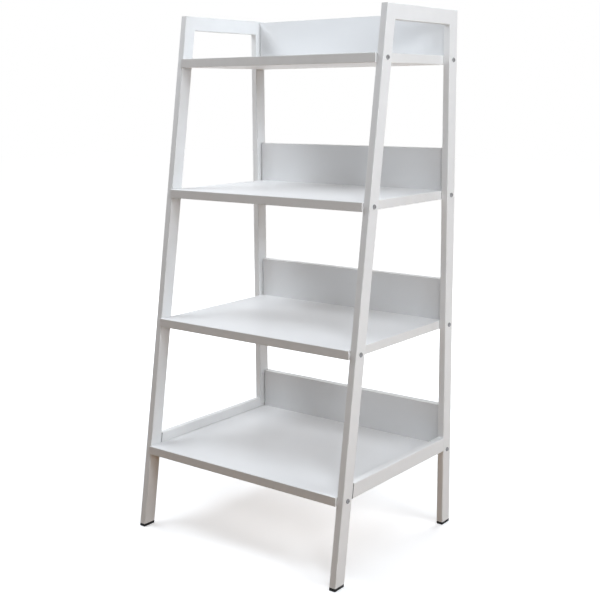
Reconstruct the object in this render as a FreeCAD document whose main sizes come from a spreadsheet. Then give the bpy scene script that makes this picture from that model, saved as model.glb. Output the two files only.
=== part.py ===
# A ladder shelving unit. Two side frames of rectangular steel tube, each an upright rear leg,
# a raked front leg and two rails, carry four melamine-faced boards. Each board carries a low
# back board. Width runs along X, the front faces -Y, and the floor is at Z zero.
import FreeCAD, Part
import os
import re
import Sketcher

doc = FreeCAD.newDocument("ShelvingUnit")

# Driving sizes in millimetres: name, value and what it measures
SIZES = (
    ("width", 530, "over the outer faces of the side frames"),
    ("height", 1100, "floor to the top of the side frames"),
    ("base_depth", 430, "front foot's front to the rear legs' rear faces, on the floor"),
    ("top_depth", 260, "front to rear of a side frame at its top"),
    ("tube_width", 15, "narrow side of the steel tube, along X"),
    ("tube_depth", 30, "wide side of the steel tube"),
    ("tube_wall", 1.5, "wall of the steel tube"),
    ("tube_corner", 1.8, "outer radius of the tube's long edges"),
    ("bottom_level", 178, "floor to the top face of the bottom shelf"),
    ("top_rise", 91, "top face of the top shelf to the top of the side frames"),
    ("rail_drop", 10, "bottom rail's underside below the bottom shelf's top face"),
    ("weld_gap", 2, "front leg to the end of the bottom rail"),
    ("weld_setback", 1, "weld seam behind the tube's faces"),
    ("weld_bead", 1.2, "width of the weld seam"),
    ("foot_height", 6, "visible height of a foot plug"),
    ("foot_corner", 0.8, "radius of a foot plug's lower edges"),
    ("plug_length", 16, "stem of a foot plug inside its leg"),
    ("plug_clearance", 0.3, "stem to the tube's inner wall"),
    ("board_thickness", 18, "shelves and back boards"),
    ("shelf_overhang", 4, "shelf's front edge past the front legs"),
    ("edging_thickness", 1, "plastic edge band"),
    ("edging_corner", 0.7, "radius of an edge band's outer edges"),
    ("back_height", 88, "back board above its shelf"),
    ("back_gap", 3, "back board's end to the leg's inner face"),
    ("bolt_diameter", 5, "shank of a frame bolt"),
    ("bolt_reach", 10, "frame bolt past the leg into the shelf"),
    ("bolt_hole_clearance", 0.25, "frame bolt to its hole in the leg"),
    ("bolt_head_diameter", 9.5, "button head of a frame bolt"),
    ("bolt_head_height", 2.8, "button head of a frame bolt"),
    ("bolt_head_round", 2, "radius of the button head's rim"),
    ("socket_across", 3, "across the flats of the bolt's hexagon socket"),
    ("socket_depth", 1.6, "depth of the bolt's hexagon socket"),
    ("insert_diameter", 10, "threaded insert in the shelf's end"),
    ("insert_length", 12, "threaded insert in the shelf's end"),
    ("insert_clearance", 0.1, "insert to its bore"),
    ("thread_clearance", 0.1, "bolt to the insert's thread"),
    ("dowel_diameter", 8, "wooden dowel under a back board"),
    ("dowel_length", 30, "wooden dowel under a back board"),
    ("dowel_sunk", 12, "length of the dowel inside the shelf"),
    ("dowel_inset", 50, "dowel's axis from the back board's end"),
    ("dowel_clearance", 0.1, "dowel to its bores"),
    ("screw_diameter", 4.5, "shank of a back board screw"),
    ("screw_length", 42, "back board screw from under its head"),
    ("screw_head_diameter", 9, "back board screw"),
    ("screw_head_height", 3, "back board screw"),
    ("screw_inset", 95, "screw's axis from the back board's end"),
    ("screw_clearance", 0.15, "screw to its bores"),
    ("screw_end_gap", 2, "bore past the end of the screw, and head below the shelf's face"),
    ("overrun", 4, "how far a cut runs past the solid"),
)
sheet = doc.addObject("Spreadsheet::Sheet", "Sizes")
for row, (name, number, note) in enumerate(SIZES, start=1):
    sheet.set(f"A{row}", name)
    sheet.set(f"B{row}", str(number))
    sheet.set(f"C{row}", note)
    sheet.setAlias(f"B{row}", name)
doc.recompute()

NAMES = re.compile(r"\b(" + "|".join(name for name, number, note in SIZES) + r")\b")
LEVELS = ("bottom", "lower", "upper", "top")
SIDES = (("left", "-"), ("right", ""))
# Two places closer than this count as one when edges are chosen
NEAR = 1e-6

# The shelves share the height between the bottom one and the top one evenly
PITCH = f"((height - top_rise - bottom_level) / {len(LEVELS) - 1})"
# The front leg leans back by LEAN for each unit of height, which stretches its depth
LEAN = "((base_depth - top_depth) / height)"
STRETCH = f"sqrt(1 + {LEAN} ^ 2)"
# Shelves and back boards end flush with the rear legs, and the object is centred on the origin
REAR_PLANE = "base_depth / 2"
BOARD_LENGTH = "(width - 2 * tube_width)"
BACK_LENGTH = f"({BOARD_LENGTH} - 2 * back_gap)"


def bound(text):
    """Turn a formula in the size names into an expression on the spreadsheet."""
    return NAMES.sub(r"Sizes.\1", text)


def value(text):
    """The number that a formula in the size names gives now."""
    result = sheet.evalExpression(bound(text))
    return float(getattr(result, "Value", result))


def mid_height(level):
    """Height of a shelf's middle plane, where its bolts are."""
    return f"(bottom_level + {level} * {PITCH} - board_thickness / 2)"


def leg_plane(leg, offset, height):
    """Y of the plane that lies an offset behind a leg's front face, at a height."""
    if leg == "rear":
        return f"({offset} - tube_depth)"
    return f"({LEAN} * ({height}) - base_depth + ({offset}) * {STRETCH})"


def shelf_front(level):
    """Y of a shelf's front edge."""
    return f"({leg_plane('front', '0', mid_height(level))} - shelf_overhang)"


def new_body(label, across="0", up="0"):
    """A body whose origin lies on the rear plane, at a place across and a height."""
    body = doc.addObject("PartDesign::Body", label)
    body.Label = label
    body.setExpression(".Placement.Base.x", bound(across))
    body.setExpression(".Placement.Base.y", bound(REAR_PLANE))
    body.setExpression(".Placement.Base.z", bound(up))
    return body


def new_sketch(body, role, offset="0", along="0"):
    """A sketch on one of the body's own planes, lifted off it and moved along its second axis."""
    plane = next(item for item in body.Origin.OriginFeatures if item.Role == role)
    sketch = body.newObject("Sketcher::SketchObject", "Sketch")
    sketch.AttachmentSupport = [(plane, "")]
    sketch.MapMode = "FlatFace"
    sketch.setExpression(".AttachmentOffset.Base.z", bound(offset))
    sketch.setExpression(".AttachmentOffset.Base.y", bound(along))
    return sketch


def pin_point(sketch, geometry, point, place):
    """Tie one point of a sketch to its two formulas."""
    for kind, text in zip(("DistanceX", "DistanceY"), place):
        constraint = Sketcher.Constraint(kind, -1, 1, geometry, point, value(text))
        index = sketch.addConstraint(constraint)
        sketch.setExpression(f"Constraints[{index}]", bound(text))


def draw_outline(sketch, places):
    """A closed outline of straight lines through the places."""
    corners = [FreeCAD.Vector(value(across), value(up), 0) for across, up in places]
    ends = corners[1:] + corners[:1]
    lines = [Part.LineSegment(start, end) for start, end in zip(corners, ends)]
    first = sketch.addGeometry(lines, False)[0]
    for step, place in enumerate(places):
        after = first + (step + 1) % len(places)
        sketch.addConstraint(Sketcher.Constraint("Coincident", first + step, 2, after, 1))
        pin_point(sketch, first + step, 1, place)


def draw_rectangle(sketch, low, high):
    """A rectangle between its low corner and its high corner."""
    draw_outline(sketch, (low, (high[0], low[1]), high, (low[0], high[1])))


def draw_circle(sketch, centre, radius):
    """A circle about a place."""
    middle = FreeCAD.Vector(value(centre[0]), value(centre[1]), 0)
    circle = Part.Circle(middle, FreeCAD.Vector(0, 0, 1), value(radius))
    index = sketch.addGeometry(circle, False)
    pin_point(sketch, index, 3, centre)
    constraint = sketch.addConstraint(Sketcher.Constraint("Radius", index, value(radius)))
    sketch.setExpression(f"Constraints[{constraint}]", bound(radius))


def extrude(body, kind, sketch, length, side="Symmetric", flipped=False):
    """A pad or a pocket of a sketch."""
    feature = body.newObject(f"PartDesign::{kind}", kind)
    feature.Profile = sketch
    feature.SideType = side
    feature.Reversed = flipped
    feature.setExpression("Length", bound(length))
    doc.recompute()
    return feature


def mirror(body, features):
    """Repeat features on the other side of the body's middle plane."""
    plane = next(item for item in body.Origin.OriginFeatures if item.Role == "YZ_Plane")
    mirrored = body.newObject("PartDesign::Mirrored", "Mirrored")
    mirrored.Originals = features
    mirrored.MirrorPlane = (plane, [""])
    body.Tip = mirrored
    doc.recompute()
    return mirrored


def round_edges(body, feature, chosen, radius):
    """Fillet the edges that a test chooses."""
    edges = enumerate(feature.Shape.Edges, start=1)
    fillet = body.newObject("PartDesign::Fillet", "Fillet")
    fillet.Base = (feature, [f"Edge{number}" for number, edge in edges if chosen(edge)])
    fillet.setExpression("Radius", bound(radius))
    doc.recompute()
    return fillet


def meets(place, *others):
    """Whether a place is one of the others."""
    return any(abs(place - other) < NEAR for other in others)


def runs_along(direction):
    """A test for straight edges along a direction."""
    def chosen(edge):
        if not isinstance(edge.Curve, Part.Line):
            return False
        return edge.Curve.Direction.cross(direction).Length < NEAR
    return chosen


def steel_tube(label, side, outline, hollow, direction, holes=()):
    """A length of rectangular tube: its side outline, its hollow and its bolt holes."""
    body = new_body(label, f"{side}(width - tube_width) / 2")
    profile = new_sketch(body, "YZ_Plane")
    draw_outline(profile, outline)
    solid = extrude(body, "Pad", profile, "tube_width")
    round_edges(body, solid, runs_along(direction), "tube_corner")
    bore = new_sketch(body, "YZ_Plane")
    draw_outline(bore, hollow)
    extrude(body, "Pocket", bore, "tube_width - 2 * tube_wall")
    if holes:
        drilling = new_sketch(body, "YZ_Plane")
        for place in holes:
            draw_circle(drilling, place, "bolt_diameter / 2 + bolt_hole_clearance")
        extrude(body, "Pocket", drilling, "tube_width + 2 * overrun")
    return body


def bolt_place(leg, level):
    """Where a leg's bolt is, on the leg's side face."""
    height = mid_height(level)
    return (leg_plane(leg, "tube_depth / 2", height), height)


def leg_band(leg, front, rear, low, high):
    """An outline between two planes parallel to a leg's front face, from low to high."""
    return [
        (leg_plane(leg, front, low), low),
        (leg_plane(leg, rear, low), low),
        (leg_plane(leg, rear, high), high),
        (leg_plane(leg, front, high), high),
    ]


def mitred_leg(leg, inset, low, high):
    """A leg's side outline from its low end to its mitred top, drawn in by an inset."""
    front, rear = inset, f"tube_depth - ({inset})"
    inner_top = f"{high} - tube_depth"
    front_top, rear_top = (high, inner_top) if leg == "front" else (inner_top, high)
    return [
        (leg_plane(leg, front, low), low),
        (leg_plane(leg, rear, low), low),
        (leg_plane(leg, rear, rear_top), rear_top),
        (leg_plane(leg, front, front_top), front_top),
    ]


# The legs are cut level above their foot plugs and mitred at the top, where the outer side
# of each is the longer one
for side, sign in SIDES:
    for leg in ("rear", "front"):
        lean = value(LEAN) if leg == "front" else 0
        steel_tube(
            f"{leg}_leg_{side}", sign,
            mitred_leg(leg, "0", "foot_height", "height"),
            mitred_leg(leg, "tube_wall", "foot_height - overrun", "height + 2 * tube_depth"),
            FreeCAD.Vector(0, lean, 1),
            [bolt_place(leg, level) for level in range(len(LEVELS))],
        )

# The top rail is mitred to both legs
RAIL_UNDERSIDE = "height - tube_depth"
RAIL_INNER_LOW = f"{RAIL_UNDERSIDE} + tube_wall"
RAIL_INNER_HIGH = "height - tube_wall"
for side, sign in SIDES:
    outline = (
        (leg_plane("front", "0", "height"), "height"),
        (leg_plane("front", "tube_depth", RAIL_UNDERSIDE), RAIL_UNDERSIDE),
        (leg_plane("rear", "0", "height"), RAIL_UNDERSIDE),
        (leg_plane("rear", "tube_depth", "height"), "height"),
    )
    hollow = (
        (leg_plane("front", "-overrun", "height"), RAIL_INNER_HIGH),
        (leg_plane("front", "-overrun", "height"), RAIL_INNER_LOW),
        ("overrun", RAIL_INNER_LOW),
        ("overrun", RAIL_INNER_HIGH),
    )
    steel_tube(f"top_rail_{side}", sign, outline, hollow, FreeCAD.Vector(0, 1, 0))

# The bottom rail butts on the rear leg. A set-back weld seam joins it to the front leg.
RAIL_LOW = "(bottom_level - rail_drop)"
RAIL_HIGH = f"({RAIL_LOW} + tube_depth)"
SEAM_FRONT = "tube_depth"
SEAM_REAR = "tube_depth + weld_gap"

for side, sign in SIDES:
    outline = (
        (leg_plane("front", SEAM_REAR, RAIL_LOW), RAIL_LOW),
        (leg_plane("rear", "0", RAIL_LOW), RAIL_LOW),
        (leg_plane("rear", "0", RAIL_HIGH), RAIL_HIGH),
        (leg_plane("front", SEAM_REAR, RAIL_HIGH), RAIL_HIGH),
    )
    inner_low = f"{RAIL_LOW} + tube_wall"
    inner_high = f"{RAIL_HIGH} - tube_wall"
    hollow_front = leg_plane("front", "0", RAIL_LOW)
    hollow = (
        (hollow_front, inner_low),
        ("overrun", inner_low),
        ("overrun", inner_high),
        (hollow_front, inner_high),
    )
    steel_tube(f"bottom_rail_{side}", sign, outline, hollow, FreeCAD.Vector(0, 1, 0))

    seam = new_body(f"rail_weld_{side}", f"{sign}(width - tube_width) / 2")
    bead = new_sketch(seam, "YZ_Plane")
    outer = (f"{RAIL_LOW} + weld_setback", f"{RAIL_HIGH} - weld_setback")
    draw_outline(bead, leg_band("front", SEAM_FRONT, SEAM_REAR, *outer))
    extrude(seam, "Pad", bead, "tube_width - 2 * weld_setback")
    core = new_sketch(seam, "YZ_Plane")
    inner = (f"{outer[0]} + weld_bead", f"{outer[1]} - weld_bead")
    planes = (f"{SEAM_FRONT} - overrun", f"{SEAM_REAR} + overrun")
    draw_outline(core, leg_band("front", *planes, *inner))
    extrude(seam, "Pocket", core, "tube_width - 2 * (weld_setback + weld_bead)")


def lies_on_floor(edge):
    """A test for the edges of a foot's lower face."""
    return meets(edge.BoundBox.ZMax, 0)


# Foot plugs: a flange under the tube's end, and a stem inside the tube
STEM_INSET = "(tube_wall + plug_clearance)"
for side, sign in SIDES:
    for leg in ("rear", "front"):
        foot = new_body(f"{leg}_foot_{side}", f"{sign}(width - tube_width) / 2")
        flange = new_sketch(foot, "YZ_Plane")
        draw_outline(flange, leg_band(leg, "0", "tube_depth", "0", "foot_height"))
        extrude(foot, "Pad", flange, "tube_width")
        stem = new_sketch(foot, "YZ_Plane")
        planes = (STEM_INSET, f"tube_depth - {STEM_INSET}")
        draw_outline(stem, leg_band(leg, *planes, "foot_height", "foot_height + plug_length"))
        whole = extrude(foot, "Pad", stem, f"tube_width - 2 * {STEM_INSET}")
        round_edges(foot, whole, lies_on_floor, "foot_corner")


def hole_pair(sketch, inset, radius):
    """Two circles on the back board's centre line, each an inset from its end."""
    along = "-board_thickness / 2"
    for sign in ("-", ""):
        draw_circle(sketch, (f"{sign}({BACK_LENGTH} / 2 - {inset})", along), radius)


def bolt_line(level):
    """The two places along Y where a shelf is bolted."""
    return [leg_plane(leg, "tube_depth / 2", mid_height(level)) for leg in ("rear", "front")]


def edged_ring(body, low, high, thickness, rim):
    """An edge band all round a board: its outer corners, its height and its rounding test."""
    ring = new_sketch(body, "XY_Plane")
    draw_rectangle(ring, low, high)
    inner_low = [f"{text} + edging_thickness" for text in low]
    inner_high = [f"{text} - edging_thickness" for text in high]
    draw_rectangle(ring, inner_low, inner_high)
    band = extrude(body, "Pad", ring, thickness)
    return round_edges(body, band, rim, "edging_corner")


def outer_rim(low, high):
    """A test for the long outer edges of an edge band."""
    left, front, right, rear = (value(text) for text in (*low, *high))

    def chosen(edge):
        box = edge.BoundBox
        on_end = meets(box.XLength, 0) and meets(box.XMin, left, right)
        on_long_side = meets(box.YLength, 0) and meets(box.YMin, front, rear)
        return meets(box.ZLength, 0) and (on_end or on_long_side)
    return chosen


# Shelves: a board with bores in its ends for the inserts, and bores for what holds the back
# board. An edge band runs round it. Each body's origin is on the board's middle plane.
for level, name in enumerate(LEVELS):
    low = (f"-{BOARD_LENGTH} / 2", shelf_front(level))
    high = (f"{BOARD_LENGTH} / 2", "0")
    bore_radius = "insert_diameter / 2 + insert_clearance"

    shelf = new_body(f"{name}_shelf", up=mid_height(level))
    board = new_sketch(shelf, "XY_Plane")
    core_low = [f"{text} + edging_thickness" for text in low]
    core_high = [f"{text} - edging_thickness" for text in high]
    draw_rectangle(board, core_low, core_high)
    extrude(shelf, "Pad", board, "board_thickness")
    bores = new_sketch(shelf, "YZ_Plane", f"{BOARD_LENGTH} / 2 - insert_length - insert_clearance")
    for along in bolt_line(level):
        draw_circle(bores, (along, "0"), bore_radius)
    reach = "insert_length + overrun"
    bored = extrude(shelf, "Pocket", bores, reach, "One side", flipped=True)
    mirror(shelf, [bored])
    dowel_bores = new_sketch(shelf, "XY_Plane", "board_thickness / 2")
    hole_pair(dowel_bores, "dowel_inset", "dowel_diameter / 2 + dowel_clearance")
    extrude(shelf, "Pocket", dowel_bores, "dowel_sunk + dowel_clearance", "One side")
    screw_bores = new_sketch(shelf, "XY_Plane")
    hole_pair(screw_bores, "screw_inset", "screw_diameter / 2 + screw_clearance")
    extrude(shelf, "Pocket", screw_bores, "board_thickness + 2 * overrun")
    head_bores = new_sketch(shelf, "XY_Plane", "-board_thickness / 2")
    hole_pair(head_bores, "screw_inset", "screw_head_diameter / 2 + screw_clearance")
    sunk = "screw_end_gap + screw_head_height"
    extrude(shelf, "Pocket", head_bores, sunk, "One side", flipped=True)

    edging = new_body(f"{name}_shelf_edging", up=mid_height(level))
    edged_ring(edging, low, high, "board_thickness", outer_rim(low, high))
    openings = new_sketch(edging, "YZ_Plane")
    for along in bolt_line(level):
        draw_circle(openings, (along, "0"), bore_radius)
    extrude(edging, "Pocket", openings, f"{BOARD_LENGTH} + 2 * overrun")

# Frame bolts and the inserts that they screw into, four of each to a shelf
HEAD_FACE = "width / 2 + bolt_head_height"
for level, name in enumerate(LEVELS):
    bolts = new_body(f"{name}_shelf_bolts", up=mid_height(level))
    turned = []
    for along in bolt_line(level):
        profile = new_sketch(bolts, "XY_Plane", along=along)
        tip = f"{BOARD_LENGTH} / 2 - bolt_reach"
        draw_outline(profile, (
            (tip, "0"),
            (HEAD_FACE, "0"),
            (HEAD_FACE, "bolt_head_diameter / 2"),
            ("width / 2", "bolt_head_diameter / 2"),
            ("width / 2", "bolt_diameter / 2"),
            (tip, "bolt_diameter / 2"),
        ))
        shape = bolts.newObject("PartDesign::Revolution", "Revolution")
        shape.Profile = profile
        shape.ReferenceAxis = (profile, ["H_Axis"])
        shape.Angle = 360
        doc.recompute()
        turned.append(shape)
    sockets = new_sketch(bolts, "YZ_Plane", HEAD_FACE)
    for along in bolt_line(level):
        draw_outline(sockets, [
            (f"{along} + socket_across / sqrt(3) * cos({angle} deg)",
             f"socket_across / sqrt(3) * sin({angle} deg)")
            for angle in range(0, 360, 60)
        ])
    turned.append(extrude(bolts, "Pocket", sockets, "socket_depth", "One side"))
    pattern = mirror(bolts, turned)
    rim_radius = value("bolt_head_diameter / 2")
    rim_place = value(HEAD_FACE)

    def on_rim(edge):
        """A test for the outer rim of a bolt head."""
        if not isinstance(edge.Curve, Part.Circle):
            return False
        return meets(edge.Curve.Radius, rim_radius) and meets(abs(edge.Curve.Center.x), rim_place)

    round_edges(bolts, pattern, on_rim, "bolt_head_round")

    inserts = new_body(f"{name}_shelf_inserts", up=mid_height(level))
    rings = new_sketch(inserts, "YZ_Plane", f"{BOARD_LENGTH} / 2 - insert_length")
    for along in bolt_line(level):
        draw_circle(rings, (along, "0"), "insert_diameter / 2")
        draw_circle(rings, (along, "0"), "bolt_diameter / 2 + thread_clearance")
    sleeve = extrude(inserts, "Pad", rings, "insert_length", "One side")
    mirror(inserts, [sleeve])

# Back boards: each stands on the rear of its shelf, on dowels, with screws from below.
# Its band runs over the top and both ends, and its bores open at the foot.
SHELF_TOP = "board_thickness / 2"
BACK_REACH = f"({BACK_LENGTH} / 2)"
BACK_TOP = f"({SHELF_TOP} + back_height)"
CORE_REACH = f"({BACK_REACH} - edging_thickness)"
CORE_TOP = f"({BACK_TOP} - edging_thickness)"
DOWEL_FOOT = f"{SHELF_TOP} - dowel_sunk"
SCREW_SEAT = f"{SHELF_TOP} - board_thickness + screw_end_gap + screw_head_height"


def on_back(edge):
    """A test for the outer long edges of the back board's band."""
    box = edge.BoundBox
    flush = meets(box.YLength, 0) and meets(box.YMin, -value("board_thickness"), 0)
    on_top = meets(box.ZMin, value(BACK_TOP))
    on_end = meets(box.XLength, 0) and meets(abs(box.XMin), value(BACK_REACH))
    return flush and (on_top or on_end)


for level, name in enumerate(LEVELS):
    back = new_body(f"{name}_back_board", up=mid_height(level))
    face = new_sketch(back, "XZ_Plane", "board_thickness")
    draw_rectangle(face, (f"-{CORE_REACH}", SHELF_TOP), (CORE_REACH, CORE_TOP))
    extrude(back, "Pad", face, "board_thickness", "One side", flipped=True)
    dowel_bores = new_sketch(back, "XY_Plane", SHELF_TOP)
    hole_pair(dowel_bores, "dowel_inset", "dowel_diameter / 2 + dowel_clearance")
    depth = "dowel_length - dowel_sunk + dowel_clearance"
    extrude(back, "Pocket", dowel_bores, depth, "One side", flipped=True)
    screw_bores = new_sketch(back, "XY_Plane", SHELF_TOP)
    hole_pair(screw_bores, "screw_inset", "screw_diameter / 2 + screw_clearance")
    depth = f"{SCREW_SEAT} + screw_length + screw_end_gap - {SHELF_TOP}"
    extrude(back, "Pocket", screw_bores, depth, "One side", flipped=True)

    edging = new_body(f"{name}_back_board_edging", up=mid_height(level))
    hoop = new_sketch(edging, "XZ_Plane", "board_thickness")
    draw_outline(hoop, (
        (f"-{BACK_REACH}", SHELF_TOP),
        (f"-{CORE_REACH}", SHELF_TOP),
        (f"-{CORE_REACH}", CORE_TOP),
        (CORE_REACH, CORE_TOP),
        (CORE_REACH, SHELF_TOP),
        (BACK_REACH, SHELF_TOP),
        (BACK_REACH, BACK_TOP),
        (f"-{BACK_REACH}", BACK_TOP),
    ))
    band = extrude(edging, "Pad", hoop, "board_thickness", "One side", flipped=True)
    round_edges(edging, band, on_back, "edging_corner")

    dowels = new_body(f"{name}_back_board_dowels", up=mid_height(level))
    pins = new_sketch(dowels, "XY_Plane", DOWEL_FOOT)
    hole_pair(pins, "dowel_inset", "dowel_diameter / 2")
    extrude(dowels, "Pad", pins, "dowel_length", "One side")

    screws = new_body(f"{name}_back_board_screws", up=mid_height(level))
    shanks = new_sketch(screws, "XY_Plane", SCREW_SEAT)
    hole_pair(shanks, "screw_inset", "screw_diameter / 2")
    extrude(screws, "Pad", shanks, "screw_length", "One side")
    heads = new_sketch(screws, "XY_Plane", SCREW_SEAT)
    hole_pair(heads, "screw_inset", "screw_head_diameter / 2")
    extrude(screws, "Pad", heads, "screw_head_height", "One side", flipped=True)

doc.recompute()
for item in doc.Objects:
    if "Invalid" in item.State or "Error" in item.State:
        raise RuntimeError(f"{item.Label} failed: {item.State}")

bodies = [item for item in doc.Objects if item.TypeId == "PartDesign::Body"]
for body in bodies:
    if body.Shape.isNull() or not body.Shape.isValid() or not body.Shape.Solids:
        raise RuntimeError(f"{body.Label} has no valid solid")

os.makedirs("parts", exist_ok=True)
for body in bodies:
    body.Shape.exportStep(f"parts/{body.Label}.step")
    print(f"{body.Label}: {len(body.Shape.Solids)} solids, {body.Shape.Volume:.1f} mm3")
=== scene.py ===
"""The looks of a ladder shelving unit: two white side frames of steel tube that carry four
white shelves with low back boards. Every length is in metres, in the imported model's frame."""

import math

import bmesh
import bpy
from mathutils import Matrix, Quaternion, Vector


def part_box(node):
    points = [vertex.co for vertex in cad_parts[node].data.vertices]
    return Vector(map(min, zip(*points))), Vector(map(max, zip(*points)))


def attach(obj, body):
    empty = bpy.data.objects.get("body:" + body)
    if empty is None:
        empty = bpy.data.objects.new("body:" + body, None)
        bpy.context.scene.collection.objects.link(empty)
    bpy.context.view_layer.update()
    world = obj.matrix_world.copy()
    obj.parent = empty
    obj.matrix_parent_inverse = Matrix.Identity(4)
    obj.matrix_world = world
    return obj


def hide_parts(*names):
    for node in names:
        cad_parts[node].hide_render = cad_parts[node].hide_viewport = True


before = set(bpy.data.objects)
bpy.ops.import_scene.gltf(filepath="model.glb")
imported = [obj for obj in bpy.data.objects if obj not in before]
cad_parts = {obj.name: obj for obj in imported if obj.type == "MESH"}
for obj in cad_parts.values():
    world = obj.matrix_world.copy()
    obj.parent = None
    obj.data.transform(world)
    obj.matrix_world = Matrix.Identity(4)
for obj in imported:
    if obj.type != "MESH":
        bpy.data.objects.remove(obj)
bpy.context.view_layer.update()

# Side frame tubes. Each frame is mild steel tube, cut, mitred and welded, then sprayed with
# satin white powder and baked. The baked coat keeps a faint orange peel. Little powder reaches
# the cut ends that lie in narrow joints, and their grey also paints in shade that darkens the
# joints.
SIDES = ("left", "right")
PEEL_WAVES = 380
PEEL_HEIGHT = 0.000035
FLOW_WAVES = 30
PATTERN_LOW, PATTERN_HIGH = 0.3, 0.7
NEARLY_SQUARE = 0.9
COAT_WHITES = ((0.825, 0.827, 0.823, 1), (0.850, 0.850, 0.847, 1))
# Greys for the thin coat in narrow joints. They also serve as painted shade that darkens those
# joints.
THIN_COAT_AND_PAINTED_SHADE_GREYS = ((0.44, 0.44, 0.45, 1), (0.58, 0.58, 0.58, 1))
COAT_ROUGHNESS = (0.30, 0.42)


def new_finish(name):
    """A material with its shader, and the place on the object that its patterns follow."""
    finish = bpy.data.materials.new(name)
    finish.use_nodes = True
    tree = finish.node_tree
    place = tree.nodes.new("ShaderNodeTexCoord").outputs["Object"]
    return finish, tree, tree.nodes["Principled BSDF"], place


def lay(tree, kind, inputs, **settings):
    """Lay one node of a finish. Each input is a value, or the output that feeds it."""
    node = tree.nodes.new(f"ShaderNode{kind}")
    for name, setting in settings.items():
        setattr(node, name, setting)
    for name, source in inputs.items():
        if isinstance(source, bpy.types.NodeSocket):
            tree.links.new(source, node.inputs[name])
        else:
            node.inputs[name].default_value = source
    return node


def mottle(tree, place, waves, detail=2):
    """A soft random pattern with so many waves to the metre."""
    inputs = {"Vector": place, "Scale": waves, "Detail": detail}
    return lay(tree, "TexNoise", inputs).outputs["Fac"]


def spread(tree, pattern, low, high):
    """A pattern's middle range spread between two numbers."""
    inputs = {"Value": pattern, "From Min": PATTERN_LOW, "From Max": PATTERN_HIGH}
    inputs |= {"To Min": low, "To Max": high}
    return lay(tree, "MapRange", inputs).outputs["Result"]


def tint(tree, pattern, tints):
    """Colours that follow a pattern from its low places to its high ones."""
    ramp = lay(tree, "ValToRGB", {"Fac": pattern})
    positions = (PATTERN_LOW, PATTERN_HIGH)
    for stop, colour, position in zip(ramp.color_ramp.elements, tints, positions):
        stop.color = colour
        stop.position = position
    return ramp.outputs["Color"]


def relief(tree, pattern, height, below=None):
    """Surface relief from a pattern, on top of a coarser one if there is one."""
    inputs = {"Height": pattern, "Distance": height, "Strength": 1.0}
    if below is not None:
        inputs["Normal"] = below
    return lay(tree, "Bump", inputs).outputs["Normal"]


def square_to(tree, axis):
    """One on faces that are square to an axis, or nearly so, and zero elsewhere."""
    facing = lay(tree, "SeparateXYZ", {0: lay(tree, "TexCoord", {}).outputs["Normal"]})
    square = lay(tree, "Math", {0: facing.outputs[axis]}, operation="ABSOLUTE").outputs[0]
    return lay(tree, "Math", {0: square, 1: NEARLY_SQUARE}, operation="GREATER_THAN").outputs[0]


def powder_coat(name, tints, end_coat_and_shade_tints=None):
    """Satin powder coat on steel, with grey tints on the cut ends if given: thin coat and painted
    shade.
    """
    finish, tree, shader, place = new_finish(name)
    flow = mottle(tree, place, FLOW_WAVES)
    colour = tint(tree, flow, tints)
    if end_coat_and_shade_tints:
        inputs = {0: square_to(tree, "Y"), 6: colour, 7: tint(tree, flow, end_coat_and_shade_tints)}
        colour = lay(tree, "Mix", inputs, data_type="RGBA").outputs[2]
    peel = relief(tree, mottle(tree, place, PEEL_WAVES), PEEL_HEIGHT)
    tree.links.new(colour, shader.inputs["Base Color"])
    tree.links.new(spread(tree, flow, *COAT_ROUGHNESS), shader.inputs["Roughness"])
    tree.links.new(peel, shader.inputs["Normal"])
    return finish


coat = powder_coat("satin_white_powder_coat", COAT_WHITES)
# The bottom rails' cut ends are painted grey: thin coat, and painted shade that darkens the joints.
rail_coat_with_painted_shade = powder_coat("white_powder_coat_thin_and_painted_shade_on_ends", COAT_WHITES, THIN_COAT_AND_PAINTED_SHADE_GREYS)
for side in SIDES:
    for tube in ("rear_leg", "front_leg", "top_rail"):
        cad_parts[f"{tube}_{side}"].material_slots[0].material = coat
    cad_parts[f"bottom_rail_{side}"].material_slots[0].material = rail_coat_with_painted_shade

# Weld beads. The tubes are joined by short runs of weld under the powder coat. Those in the
# inner corners show as small rippled fillets. The one at the front end of each bottom rail
# lies deep between rail and leg, where the coat is thin. Its grey, and that of the rail's cut
# ends, is also painted shade, so that the joint is a dark line.
BEAD_RADIUS = 0.0017
BEAD_RIPPLE = 0.12
RIPPLE_LENGTH = 0.0014
RINGS_TO_A_RIPPLE = 4
BEAD_SIDES = 12
BEAD_BLUNTNESS = 6
BEAD_TIP_SHARE = 0.05
SEAM_RADIUS = 0.001
SEAM_INSET = 0.0014
SHARP_ANGLE = math.radians(35)

tube_low, tube_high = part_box("rear_leg_left")
TUBE_WIDTH = tube_high.x - tube_low.x
TUBE_DEPTH = tube_high.y - tube_low.y
INNER_FACE = -tube_high.x
REAR_LEG_FRONT = tube_low.y
leg_low, leg_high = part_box("front_leg_left")
top_rail_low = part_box("top_rail_left")[0]
bottom_rail_low, bottom_rail_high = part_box("bottom_rail_left")
LEAN = (top_rail_low.y - leg_low.y) / (leg_high.z - leg_low.z)


def front_leg_y(height, depth=0.0):
    """Y of the front leg's front face at a height, or of a plane so deep behind it."""
    return leg_low.y + LEAN * (height - leg_low.z) + depth * math.hypot(1, LEAN)


def skin(mesh, rings, closed=False):
    """Faces over a row of rings with like counts of points. Open rows get flat ends."""
    rows = [[mesh.verts.new(point) for point in ring] for ring in rings]
    pairs = list(zip(rows, rows[1:]))
    if closed:
        pairs.append((rows[-1], rows[0]))
    else:
        mesh.faces.new(reversed(rows[0]))
        mesh.faces.new(rows[-1])
    for near, far in pairs:
        for i in range(len(near)):
            j = (i + 1) % len(near)
            mesh.faces.new((near[i], near[j], far[j], far[i]))


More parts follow.
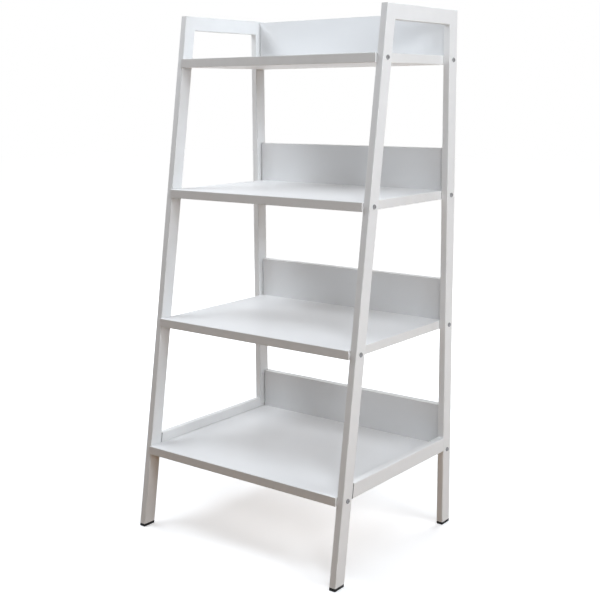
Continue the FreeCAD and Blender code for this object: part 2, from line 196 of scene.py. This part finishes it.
def finish_piece(mesh, name, finish, nodes=()):
    """Make an object of a mesh, coat it and put it in its nodes' place."""
    bmesh.ops.recalc_face_normals(mesh, faces=mesh.faces)
    data = bpy.data.meshes.new(name)
    mesh.to_mesh(data)
    mesh.free()
    data.shade_smooth()
    data.set_sharp_from_angle(angle=SHARP_ANGLE)
    data.materials.append(finish)
    piece = bpy.data.objects.new(name, data)
    bpy.context.scene.collection.objects.link(piece)
    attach(piece, "root")
    if nodes:
        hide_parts(*nodes)
    return piece


def along_path(points, step, closed=False):
    """Places at even steps along a path of straight runs."""
    ends = points[1:] + points[:1] if closed else points[1:]
    places = []
    for start, end in zip(points, ends):
        count = max(1, round((end - start).length / step))
        places += [start.lerp(end, i / count) for i in range(count)]
    return places if closed else places + [points[-1]]


def weld_bead(mesh, points, radius, closed=False):
    """A rippled bead of weld along a path."""
    places = along_path(points, RIPPLE_LENGTH / RINGS_TO_A_RIPPLE, closed)
    last = len(places) - 1
    across = (places[1] - places[0]).orthogonal()
    rings = []
    for i, place in enumerate(places):
        before = places[i - 1] if closed or i else place
        after = places[(i + 1) % len(places)] if closed or i < last else place
        ahead = (after - before).normalized()
        across = (across - across.dot(ahead) * ahead).normalized()
        side = ahead.cross(across)
        ripple = 1 - BEAD_RIPPLE * (1 + math.cos(math.tau * i / RINGS_TO_A_RIPPLE)) / 2
        taper = 1 - abs(2 * i / last - 1) ** BEAD_BLUNTNESS
        end = 1 if closed else math.sqrt(max(BEAD_TIP_SHARE, taper))
        size = radius * ripple * end
        turns = [math.tau * k / BEAD_SIDES for k in range(BEAD_SIDES)]
        rings.append([place + size * (math.cos(a) * across + math.sin(a) * side) for a in turns])
    skin(mesh, rings, closed)


def rail_seam(low, high):
    """The corners of the run of weld round the front end of a bottom rail."""
    middle = (low + high) / 2
    reach = (high - low) / 2
    corners = []
    for right, up in ((-1, -1), (1, -1), (1, 1), (-1, 1)):
        x = middle.x + right * (reach.x - SEAM_INSET)
        z = middle.z + up * (reach.z - SEAM_INSET)
        corners.append(Vector((x, front_leg_y(z, TUBE_DEPTH + SEAM_RADIUS), z)))
    return corners


# The seam bead is grey all over: thin coat, and painted shade that darkens the joint line.
seam_coat_with_painted_shade = powder_coat("powder_coat_thin_and_painted_shade_in_seam", THIN_COAT_AND_PAINTED_SHADE_GREYS)
for side, sign in zip(SIDES, (-1, 1)):
    seam = bmesh.new()
    weld_bead(seam, rail_seam(*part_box(f"rail_weld_{side}")), SEAM_RADIUS, closed=True)
    finish_piece(seam, f"{side}_rail_seam", seam_coat_with_painted_shade, [f"rail_weld_{side}"])

    fillets = bmesh.new()
    under_top = top_rail_low.z
    corners = (
        (REAR_LEG_FRONT, under_top),
        (front_leg_y(under_top, TUBE_DEPTH), under_top),
        (REAR_LEG_FRONT, bottom_rail_low.z),
        (REAR_LEG_FRONT, bottom_rail_high.z),
    )
    for y, z in corners:
        ends = (INNER_FACE + BEAD_RADIUS, INNER_FACE + TUBE_WIDTH - BEAD_RADIUS)
        weld_bead(fillets, [Vector((sign * x, y, z)) for x in ends], BEAD_RADIUS)
    finish_piece(fillets, f"{side}_corner_welds", coat)

# Foot plugs. Black polythene mouldings pushed into the legs' lower ends: a flange that the
# leg stands on, with rounded lower edges, and a ribbed stem that grips inside the tube.
FLANGE_HEIGHT = leg_low.z
FLANGE_ROUND = 0.0008
FLANGE_CORNER = 0.0018
STEM_INSET = 0.0020
RIB_INSET = 0.0016
RIB_PITCH = 0.004
STEM_TAPER = 0.001
CORNER_STEPS = 6
MOULD_WAVES = 900
MOULD_HEIGHT = 0.00004
SCUFF_WAVES = 120
SCUFF_DETAIL = 4
PLASTIC_BLACKS = ((0.004, 0.004, 0.004, 1), (0.010, 0.010, 0.010, 1))
PLASTIC_ROUGHNESS = (0.48, 0.66)
PLASTIC_GLOSS = 0.25


def black_plastic():
    """Moulded black polythene with a fine spark texture and dull scuffs."""
    finish, tree, shader, place = new_finish("moulded_black_polythene")
    scuffs = mottle(tree, place, SCUFF_WAVES, SCUFF_DETAIL)
    tree.links.new(tint(tree, scuffs, PLASTIC_BLACKS), shader.inputs["Base Color"])
    tree.links.new(spread(tree, scuffs, *PLASTIC_ROUGHNESS), shader.inputs["Roughness"])
    shader.inputs["Specular IOR Level"].default_value = PLASTIC_GLOSS
    texture = relief(tree, mottle(tree, place, MOULD_WAVES), MOULD_HEIGHT)
    tree.links.new(texture, shader.inputs["Normal"])
    return finish


def rounded_ring(centre, half_x, half_y, corner):
    """A level rounded rectangle about a centre."""
    ring = []
    for quarter, (right, back) in enumerate(((1, 1), (-1, 1), (-1, -1), (1, -1))):
        for step in range(CORNER_STEPS + 1):
            turn = math.radians(90 * (quarter + step / CORNER_STEPS))
            x = right * (half_x - corner) + corner * math.cos(turn)
            y = back * (half_y - corner) + corner * math.sin(turn)
            ring.append(centre + Vector((x, y, 0)))
    return ring


def foot_profile(stem_top):
    """A foot plug's heights and insets from its lower face to the top of its stem."""
    profile = []
    for step in range(CORNER_STEPS + 1):
        turn = math.radians(90 * step / CORNER_STEPS)
        profile.append((FLANGE_ROUND * (1 - math.cos(turn)), FLANGE_ROUND * (1 - math.sin(turn))))
    profile += [(FLANGE_HEIGHT, 0), (FLANGE_HEIGHT, STEM_INSET)]
    height = FLANGE_HEIGHT + RIB_PITCH / 2
    while height + RIB_PITCH < stem_top:
        profile += [(height, STEM_INSET), (height + RIB_PITCH / 8, RIB_INSET)]
        profile += [(height + RIB_PITCH / 4, RIB_INSET), (height + RIB_PITCH / 2, STEM_INSET)]
        height += RIB_PITCH
    return profile + [(stem_top - STEM_TAPER, STEM_INSET), (stem_top, STEM_INSET + STEM_TAPER)]


black = black_plastic()
for side, sign in zip(SIDES, (-1, 1)):
    for leg in ("rear", "front"):
        leaning = leg == "front"
        stem_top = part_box(f"{leg}_foot_{side}")[1].z
        plug = bmesh.new()
        rings = []
        for height, inset in foot_profile(stem_top):
            depth = TUBE_DEPTH * math.hypot(1, LEAN) if leaning else TUBE_DEPTH
            front = front_leg_y(height) if leaning else REAR_LEG_FRONT
            centre = Vector((sign * (INNER_FACE + TUBE_WIDTH / 2), front + depth / 2, height))
            corner = max(FLANGE_CORNER - inset, FLANGE_CORNER / 3)
            rings.append(rounded_ring(centre, TUBE_WIDTH / 2 - inset, depth / 2 - inset, corner))
        skin(plug, rings)
        finish_piece(plug, f"{leg}_{side}_foot_plug", black, [f"{leg}_foot_{side}"])

# Shelf boards. Chipboard faced on both sides with white melamine paper, which is pressed on a
# plate that leaves a fine pearl grain. Raw chips show only inside the drilled bores.
LEVELS = ("bottom", "lower", "upper", "top")
PEARL_WAVES = 950
PEARL_DETAIL = 1
PEARL_HEIGHT = 0.00003
HANDLING_WAVES = 9
HANDLING_DETAIL = 3
FACE_WHITES = ((0.825, 0.829, 0.833, 1), (0.845, 0.847, 0.849, 1))
FACE_ROUGHNESS = (0.40, 0.50)
CHIPS_TO_THE_METRE = 420
CHIP_ROUGHNESS = 0.9
CHIP_BROWNS = ((0.36, 0.24, 0.13, 1), (0.62, 0.47, 0.30, 1))


def melamine(name, axis):
    """White melamine on the two faces square to an axis, and raw chipboard elsewhere."""
    finish, tree, shader, place = new_finish(name)
    handling = mottle(tree, place, HANDLING_WAVES, HANDLING_DETAIL)
    chips = lay(tree, "TexVoronoi", {"Vector": place, "Scale": CHIPS_TO_THE_METRE})
    faced = square_to(tree, axis)
    core = tint(tree, chips.outputs["Color"], CHIP_BROWNS)
    white = tint(tree, handling, FACE_WHITES)
    colours = lay(tree, "Mix", {0: faced, 6: core, 7: white}, data_type="RGBA")
    tree.links.new(colours.outputs[2], shader.inputs["Base Color"])
    smooth = spread(tree, handling, *FACE_ROUGHNESS)
    rough = lay(tree, "Mix", {0: faced, 2: CHIP_ROUGHNESS, 3: smooth}).outputs[0]
    tree.links.new(rough, shader.inputs["Roughness"])
    pearl = mottle(tree, place, PEARL_WAVES, PEARL_DETAIL)
    tree.links.new(relief(tree, pearl, PEARL_HEIGHT), shader.inputs["Normal"])
    return finish


shelf_face = melamine("white_melamine_shelf", "Z")
for level in LEVELS:
    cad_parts[f"{level}_shelf"].material_slots[0].material = shelf_face

# Edge bands. White plastic strip glued round each board, its long edges scraped to a small
# round. The scraper and the buffing wheel leave faint lines along the strip.
SCRAPE_WAVES = 1500
SCRAPE_STRETCH = (0.02, 0.02, 1.0)
SCRAPE_HEIGHT = 0.00002
BAND_WHITES = ((0.800, 0.796, 0.786, 1), (0.830, 0.827, 0.820, 1))
BAND_ROUGHNESS = (0.34, 0.44)


def edge_band():
    """Buffed white plastic edge strip."""
    finish, tree, shader, place = new_finish("white_edge_band")
    stretched = lay(tree, "Mapping", {"Vector": place, "Scale": SCRAPE_STRETCH}).outputs[0]
    scrapes = mottle(tree, stretched, SCRAPE_WAVES)
    batch = mottle(tree, place, FLOW_WAVES)
    tree.links.new(tint(tree, batch, BAND_WHITES), shader.inputs["Base Color"])
    tree.links.new(spread(tree, scrapes, *BAND_ROUGHNESS), shader.inputs["Roughness"])
    tree.links.new(relief(tree, scrapes, SCRAPE_HEIGHT), shader.inputs["Normal"])
    return finish


band = edge_band()
for level in LEVELS:
    for board in ("shelf", "back_board"):
        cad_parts[f"{level}_{board}_edging"].material_slots[0].material = band

# Threaded inserts. Zinc castings driven into the ends of each shelf, four to a shelf, with
# barbs outside that hold in the chipboard and a thread inside for the frame bolts.
INSERT_LENGTH = 0.012
INSERT_WALL = 0.0024
BARB_PITCH = 0.002
BARB_DEPTH = 0.0006
MOUTH_CHAMFER = 0.0006
FINE_SIDES = 48
CLOUD_DETAIL = 3
ZINC_GREYS = ((0.42, 0.43, 0.44, 1), (0.55, 0.56, 0.57, 1))
ZINC_ROUGHNESS = (0.38, 0.52)
ZINC_WAVES = 700


def plated_metal(name, greys, roughness, waves):
    """Plated metal whose brightness and polish vary a little."""
    finish, tree, shader, place = new_finish(name)
    shader.inputs["Metallic"].default_value = 1.0
    cloud = mottle(tree, place, waves, CLOUD_DETAIL)
    tree.links.new(tint(tree, cloud, greys), shader.inputs["Base Color"])
    tree.links.new(spread(tree, cloud, *roughness), shader.inputs["Roughness"])
    return finish


def turned_ring(centre, axis, along, radii, sides=FINE_SIDES):
    """A ring round an axis at a place along it. Its radius may change with the turn."""
    first = axis.orthogonal().normalized()
    second = axis.cross(first)
    ring = []
    for i in range(sides):
        turn = math.tau * i / sides
        radius = radii(turn) if callable(radii) else radii
        arm = math.cos(turn) * first + math.sin(turn) * second
        ring.append(centre + along * axis + radius * arm)
    return ring


def bolt_lines(level):
    """The four axes of a shelf's frame bolts: a point in the middle plane and a direction."""
    low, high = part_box(f"{level}_shelf")
    height = (low.z + high.z) / 2
    for y in (REAR_LEG_FRONT + TUBE_DEPTH / 2, front_leg_y(height, TUBE_DEPTH / 2)):
        for sign in (-1, 1):
            yield Vector((0, y, height)), Vector((sign, 0, 0))


def insert_profile(outside, radius):
    """Distances and radii of an insert from its mouth, over the barbs and back through the bore."""
    inside = outside - INSERT_LENGTH
    bore = radius - INSERT_WALL
    profile = [(outside, radius)]
    place = outside - BARB_PITCH
    while place - BARB_PITCH > inside:
        profile += [(place, radius), (place - BARB_PITCH / 8, radius - BARB_DEPTH)]
        place -= BARB_PITCH
    profile += [(inside, radius - BARB_DEPTH), (inside, bore)]
    return profile + [(outside - MOUTH_CHAMFER, bore), (outside, bore + MOUTH_CHAMFER)]


zinc = plated_metal("zinc_casting", ZINC_GREYS, ZINC_ROUGHNESS, ZINC_WAVES)
for level in LEVELS:
    node = f"{level}_shelf_inserts"
    insert_low, insert_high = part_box(node)
    radius = (insert_high.z - insert_low.z) / 2
    sleeves = bmesh.new()
    profile = insert_profile(insert_high.x, radius)
    for centre, axis in bolt_lines(level):
        skin(sleeves, [turned_ring(centre, axis, *step) for step in profile], closed=True)
    finish_piece(sleeves, f"{level}_threaded_inserts", zinc, [node])

# Back boards. Strips of the same board, edged on the top and both ends, that stand on the
# rear of each shelf and stop short of the legs, so that a thin dark gap shows at each end.
back_face = melamine("white_melamine_back", "Y")
for level in LEVELS:
    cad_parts[f"{level}_back_board"].material_slots[0].material = back_face

# Dowels. Fluted beech pins with chamfered ends, two under each back board, that place it on
# its shelf.
FLUTES = 16
FLUTE_DEPTH = 0.00025
DOWEL_CHAMFER = 0.001
GRAIN_WAVES = 600
GRAIN_DETAIL = 4
GRAIN_STRETCH = (1.0, 1.0, 0.06)
BEECH_BROWNS = ((0.50, 0.33, 0.19, 1), (0.66, 0.47, 0.30, 1))
BEECH_ROUGHNESS = 0.7


def beech():
    """Bare beech with its grain along the pin."""
    finish, tree, shader, place = new_finish("bare_beech")
    shader.inputs["Roughness"].default_value = BEECH_ROUGHNESS
    stretched = lay(tree, "Mapping", {"Vector": place, "Scale": GRAIN_STRETCH}).outputs[0]
    grain = mottle(tree, stretched, GRAIN_WAVES, GRAIN_DETAIL)
    tree.links.new(tint(tree, grain, BEECH_BROWNS), shader.inputs["Base Color"])
    return finish


def upright_axes(node):
    """The upright axes of a node that holds a left and a right pin, and the pins' radius."""
    low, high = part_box(node)
    radius = (high.y - low.y) / 2
    middle = (high.y + low.y) / 2
    return [Vector((x, middle, 0)) for x in (low.x + radius, high.x - radius)], radius


UP = Vector((0, 0, 1))
wood = beech()
for level in LEVELS:
    node = f"{level}_back_board_dowels"
    foot, head = (corner.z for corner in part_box(node))
    axes, radius = upright_axes(node)

    def fluted(turn):
        """A dowel's radius at a turn."""
        return radius - FLUTE_DEPTH * (1 + math.cos(FLUTES * turn)) / 2

    pins = bmesh.new()
    small = radius - DOWEL_CHAMFER
    steps = [(foot, small), (foot + DOWEL_CHAMFER, fluted)]
    steps += [(head - DOWEL_CHAMFER, fluted), (head, small)]
    for centre in axes:
        skin(pins, [turned_ring(centre, UP, *step) for step in steps])
    finish_piece(pins, f"{level}_dowels", wood, [node])

# Back board screws. Zinc-plated chipboard screws driven up through each shelf into its back
# board. Their pan heads with a cross recess lie in counterbores under the shelf.
HEAD_THICKNESS = 0.003
PAN_FLAT = 0.0028
PAN_DOME = 0.0018
CROSS_REACH = 0.0021
CROSS_WIDTH = 0.0010
CROSS_DEPTH = 0.0015
CROSS_FLOOR_REACH = 0.00126
CROSS_FLOOR_DEPTH = 0.0012
SCREW_CORE = 0.0015
SCREW_OUTER = 0.00225
SCREW_PITCH = 0.002
SCREW_POINT = 0.005
THREAD_SIDES = 16
RINGS_TO_A_TURN = 6
DOME_STEPS = 6
PLATED_GREYS = ((0.50, 0.50, 0.49, 1), (0.62, 0.62, 0.61, 1))
PLATED_ROUGHNESS = (0.24, 0.36)
PLATED_WAVES = 500
ALMOST_ZERO = 1e-6


def cross(reach):
    """The radii of a cross recess that reaches so far."""
    def radii(turn):
        along, across = abs(math.cos(turn)), abs(math.sin(turn))
        arms = []
        for near, far in ((along, across), (across, along)):
            end = reach / max(near, ALMOST_ZERO)
            wall = CROSS_WIDTH / 2 / max(far, ALMOST_ZERO)
            arms.append(min(end, wall))
        return max(arms)
    return radii


def thread(centre, axis, start, end, core, outer, pitch):
    """Rings of a screw thread, each with its crest a little further round than the last."""
    rings = []
    count = math.ceil((end - start) / pitch * RINGS_TO_A_TURN)
    for i in range(count + 1):
        place = start + (end - start) * i / count

        def radii(turn, place=place):
            phase = (place / pitch - turn / math.tau) % 1
            return core + (outer - core) * max(0, 1 - 3 * min(phase, 1 - phase))
        rings.append(turned_ring(centre, axis, place, radii, THREAD_SIDES))
    return rings


plated = plated_metal("zinc_plate", PLATED_GREYS, PLATED_ROUGHNESS, PLATED_WAVES)
for level in LEVELS:
    node = f"{level}_back_board_screws"
    face, tip = (corner.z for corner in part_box(node))
    axes, radius = upright_axes(node)
    seat = face + HEAD_THICKNESS
    screws = bmesh.new()
    for centre in axes:
        steps = [(face + CROSS_DEPTH, CROSS_WIDTH / 4)]
        steps += [(face + CROSS_FLOOR_DEPTH, cross(CROSS_FLOOR_REACH))]
        steps += [(face, cross(CROSS_REACH)), (face, (PAN_FLAT + CROSS_REACH) / 2)]
        for i in range(DOME_STEPS + 1):
            turn = math.radians(90 * i / DOME_STEPS)
            place = face + PAN_DOME * (1 - math.cos(turn))
            steps.append((place, PAN_FLAT + (radius - PAN_FLAT) * math.sin(turn)))
        steps += [(seat, radius), (seat, SCREW_CORE / 2)]
        skin(screws, [turned_ring(centre, UP, *step) for step in steps])
        shank = thread(centre, UP, seat, tip - SCREW_POINT, SCREW_CORE, SCREW_OUTER, SCREW_PITCH)
        skin(screws, shank + [turned_ring(centre, UP, tip, SCREW_CORE / 6, THREAD_SIDES)])
    finish_piece(screws, f"{level}_back_screws", plated, [node])

# Frame bolts. Button-head bolts of grey plated steel with a hexagon socket, four to a shelf.
# Each goes through a leg from outside and draws it against the shelf's end.
BOLT_RADIUS = 0.0025
BOLT_CORE = 0.0020
BOLT_TIP = 0.0016
BOLT_PITCH = 0.0008
BOLT_REACH = 0.010
BUTTON_RADIUS = 0.00475
BUTTON_RIM = 0.0005
BUTTON_FLAT = 0.0024
EDGE_BREAK = 0.00015
SOCKET_ACROSS = 0.003
SOCKET_DEPTH = 0.0015
SOCKET_MOUTH = 0.00195
BOLT_GREYS = ((0.27, 0.27, 0.275, 1), (0.35, 0.35, 0.355, 1))
BOLT_ROUGHNESS = (0.46, 0.58)
BOLT_WAVES = 900
LEG_OUTSIDE = INNER_FACE + TUBE_WIDTH


def hexagon(turn):
    """The radius of the hexagon socket at a turn."""
    return SOCKET_ACROSS / 2 / math.cos(turn % (math.tau / 6) - math.tau / 12)


bolt_steel = plated_metal("grey_plated_steel", BOLT_GREYS, BOLT_ROUGHNESS, BOLT_WAVES)
for level in LEVELS:
    node = f"{level}_shelf_bolts"
    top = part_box(node)[1].x
    shelf_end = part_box(f"{level}_shelf_edging")[1].x
    bolts = bmesh.new()
    for centre, axis in bolt_lines(level):
        tip = shelf_end - BOLT_REACH
        threaded = (tip + BOLT_PITCH / 2, shelf_end)
        shank = [turned_ring(centre, axis, tip, BOLT_TIP, THREAD_SIDES)]
        shank += thread(centre, axis, *threaded, BOLT_CORE, BOLT_RADIUS, BOLT_PITCH)
        for place in (shelf_end, LEG_OUTSIDE):
            shank.append(turned_ring(centre, axis, place, BOLT_RADIUS, THREAD_SIDES))
        skin(bolts, shank)
        rim = LEG_OUTSIDE + BUTTON_RIM
        steps = [(LEG_OUTSIDE, BOLT_RADIUS), (LEG_OUTSIDE, BUTTON_RADIUS - EDGE_BREAK)]
        steps += [(LEG_OUTSIDE + EDGE_BREAK, BUTTON_RADIUS)]
        for i in range(DOME_STEPS + 1):
            turn = math.radians(90 * i / DOME_STEPS)
            place = rim + (top - rim) * math.sin(turn)
            steps.append((place, BUTTON_FLAT + (BUTTON_RADIUS - BUTTON_FLAT) * math.cos(turn)))
        steps += [(top, SOCKET_MOUTH), (top - EDGE_BREAK, hexagon), (top - SOCKET_DEPTH, hexagon)]
        steps += [(top - SOCKET_DEPTH - EDGE_BREAK, SOCKET_ACROSS / 8)]
        skin(bolts, [turned_ring(centre, axis, *step) for step in steps])
    finish_piece(bolts, f"{level}_frame_bolts", bolt_steel, [node])

# Studio floor and air. The floor bounces a little warm light up at the object. Seen by itself
# it is white and keeps the object's soft shadow.
FLOOR_DROP = 0.0003
FLOOR_REACH = 12
FLOOR_SQUARES = 8
BOUNCE_COLOUR = (0.25, 0.125, 0.03, 1)
SHOWN_WHITE = (0.9, 0.9, 0.9, 1)
GLOW_NEAR, GLOW_FAR = 0.36, 1.0
GLOW_START, GLOW_END = 0.7, 2.2


def only_seen(tree):
    """One for rays that show the background, and zero for those that carry its light."""
    rays = lay(tree, "LightPath", {}).outputs
    seen = rays["Is Camera Ray"]
    for kind in ("Is Glossy Ray", "Is Transmission Ray"):
        seen = lay(tree, "Math", {0: seen, 1: rays[kind]}, operation="MAXIMUM").outputs[0]
    return seen


air = bpy.data.worlds.new("studio_air")
air.use_nodes = True
bpy.context.scene.world = air
tree = air.node_tree
sky = tree.nodes["Background"]
sky.inputs["Color"].default_value = (1, 1, 1, 1)
tree.links.new(only_seen(tree), sky.inputs["Strength"])

finish, tree, shader, place = new_finish("studio_floor")
shader.inputs["Base Color"].default_value = BOUNCE_COLOUR
shader.inputs["Roughness"].default_value = 1.0
shader.inputs["Specular IOR Level"].default_value = 0.0
away = lay(tree, "VectorMath", {0: place}, operation="LENGTH").outputs["Value"]
reach = {"Value": away, "From Min": GLOW_START, "From Max": GLOW_END}
reach |= {"To Min": GLOW_NEAR, "To Max": GLOW_FAR}
glow = lay(tree, "Emission", {"Strength": lay(tree, "MapRange", reach).outputs["Result"]})
shown = lay(tree, "BsdfDiffuse", {"Color": SHOWN_WHITE})
lit = lay(tree, "AddShader", {0: shown.outputs[0], 1: glow.outputs[0]})
both = lay(tree, "MixShader", {0: only_seen(tree), 1: shader.outputs[0], 2: lit.outputs[0]})
tree.links.new(both.outputs[0], tree.nodes["Material Output"].inputs["Surface"])

ground = bmesh.new()
bmesh.ops.create_grid(
    ground, x_segments=FLOOR_SQUARES, y_segments=FLOOR_SQUARES, size=FLOOR_REACH)
floor_mesh = bpy.data.meshes.new("studio_floor")
ground.to_mesh(floor_mesh)
ground.free()
floor_mesh.materials.append(finish)
floor = bpy.data.objects.new("studio_floor", floor_mesh)
floor.location.z = -FLOOR_DROP
bpy.context.scene.collection.objects.link(floor)

# Studio lamps. Large soft boxes stand at both sides and behind, and smaller ones higher up in
# front, so that upper and outer faces are bright and the front edges stay a little darker.
# They stay out of reflections, where a shelf seen at a flat angle would mirror them as white.
LAMP_COLOUR = (0.904, 0.948, 1.0)
LAMPS = (
    ("left_box", (-2.97, 0.0, 1.02), 1.6, 52),
    ("right_box", (2.82, 0.0, 1.63), 1.6, 49),
    ("right_front_box", (2.16, -1.81, 1.63), 0.7, 18),
    ("rear_low_box", (0.0, 2.97, 1.02), 1.6, 50),
    ("rear_high_box", (0.0, 2.12, 2.72), 1.6, 24),
    ("left_top_box", (-0.95, -0.50, 2.20), 0.8, 20),
    ("right_top_box", (0.95, -0.55, 2.20), 0.8, 7),
)
AIM = Vector((0, 0, 0.6))
for name, place, size, power in LAMPS:
    box = bpy.data.lights.new(name, "AREA")
    box.size = size
    box.energy = power
    box.color = LAMP_COLOUR
    lamp = bpy.data.objects.new(name, box)
    lamp.location = place
    lamp.rotation_mode = "QUATERNION"
    lamp.rotation_quaternion = (AIM - lamp.location).to_track_quat("-Z", "Y")
    lamp.visible_camera = False
    lamp.visible_glossy = False
    bpy.context.scene.collection.objects.link(lamp)

# Camera. It stands to the right of the front, at a little below the top's height, and is
# tilted down. A small shift sets the object a little higher in the frame.
CAMERA_PLACE = (1.370, -1.736, 0.932)
CAMERA_TURN, CAMERA_TILT, CAMERA_ROLL = (math.radians(angle) for angle in (37.89, 9.41, -0.39))
LENS = 63.47
SENSOR = 36
SHIFT = -0.05

camera = bpy.data.objects.new("camera", bpy.data.cameras.new("camera"))
bpy.context.scene.collection.objects.link(camera)
bpy.context.scene.camera = camera
level_look = Vector((-math.sin(CAMERA_TURN), math.cos(CAMERA_TURN), 0))
look = math.cos(CAMERA_TILT) * level_look - math.sin(CAMERA_TILT) * UP
camera.location = CAMERA_PLACE
camera.rotation_mode = "QUATERNION"
camera.rotation_quaternion = look.to_track_quat("-Z", "Y") @ Quaternion(UP, CAMERA_ROLL)
camera.data.sensor_width = SENSOR
camera.data.lens = LENS
camera.data.shift_y = SHIFT
bpy.context.scene.view_settings.view_transform = "Standard"
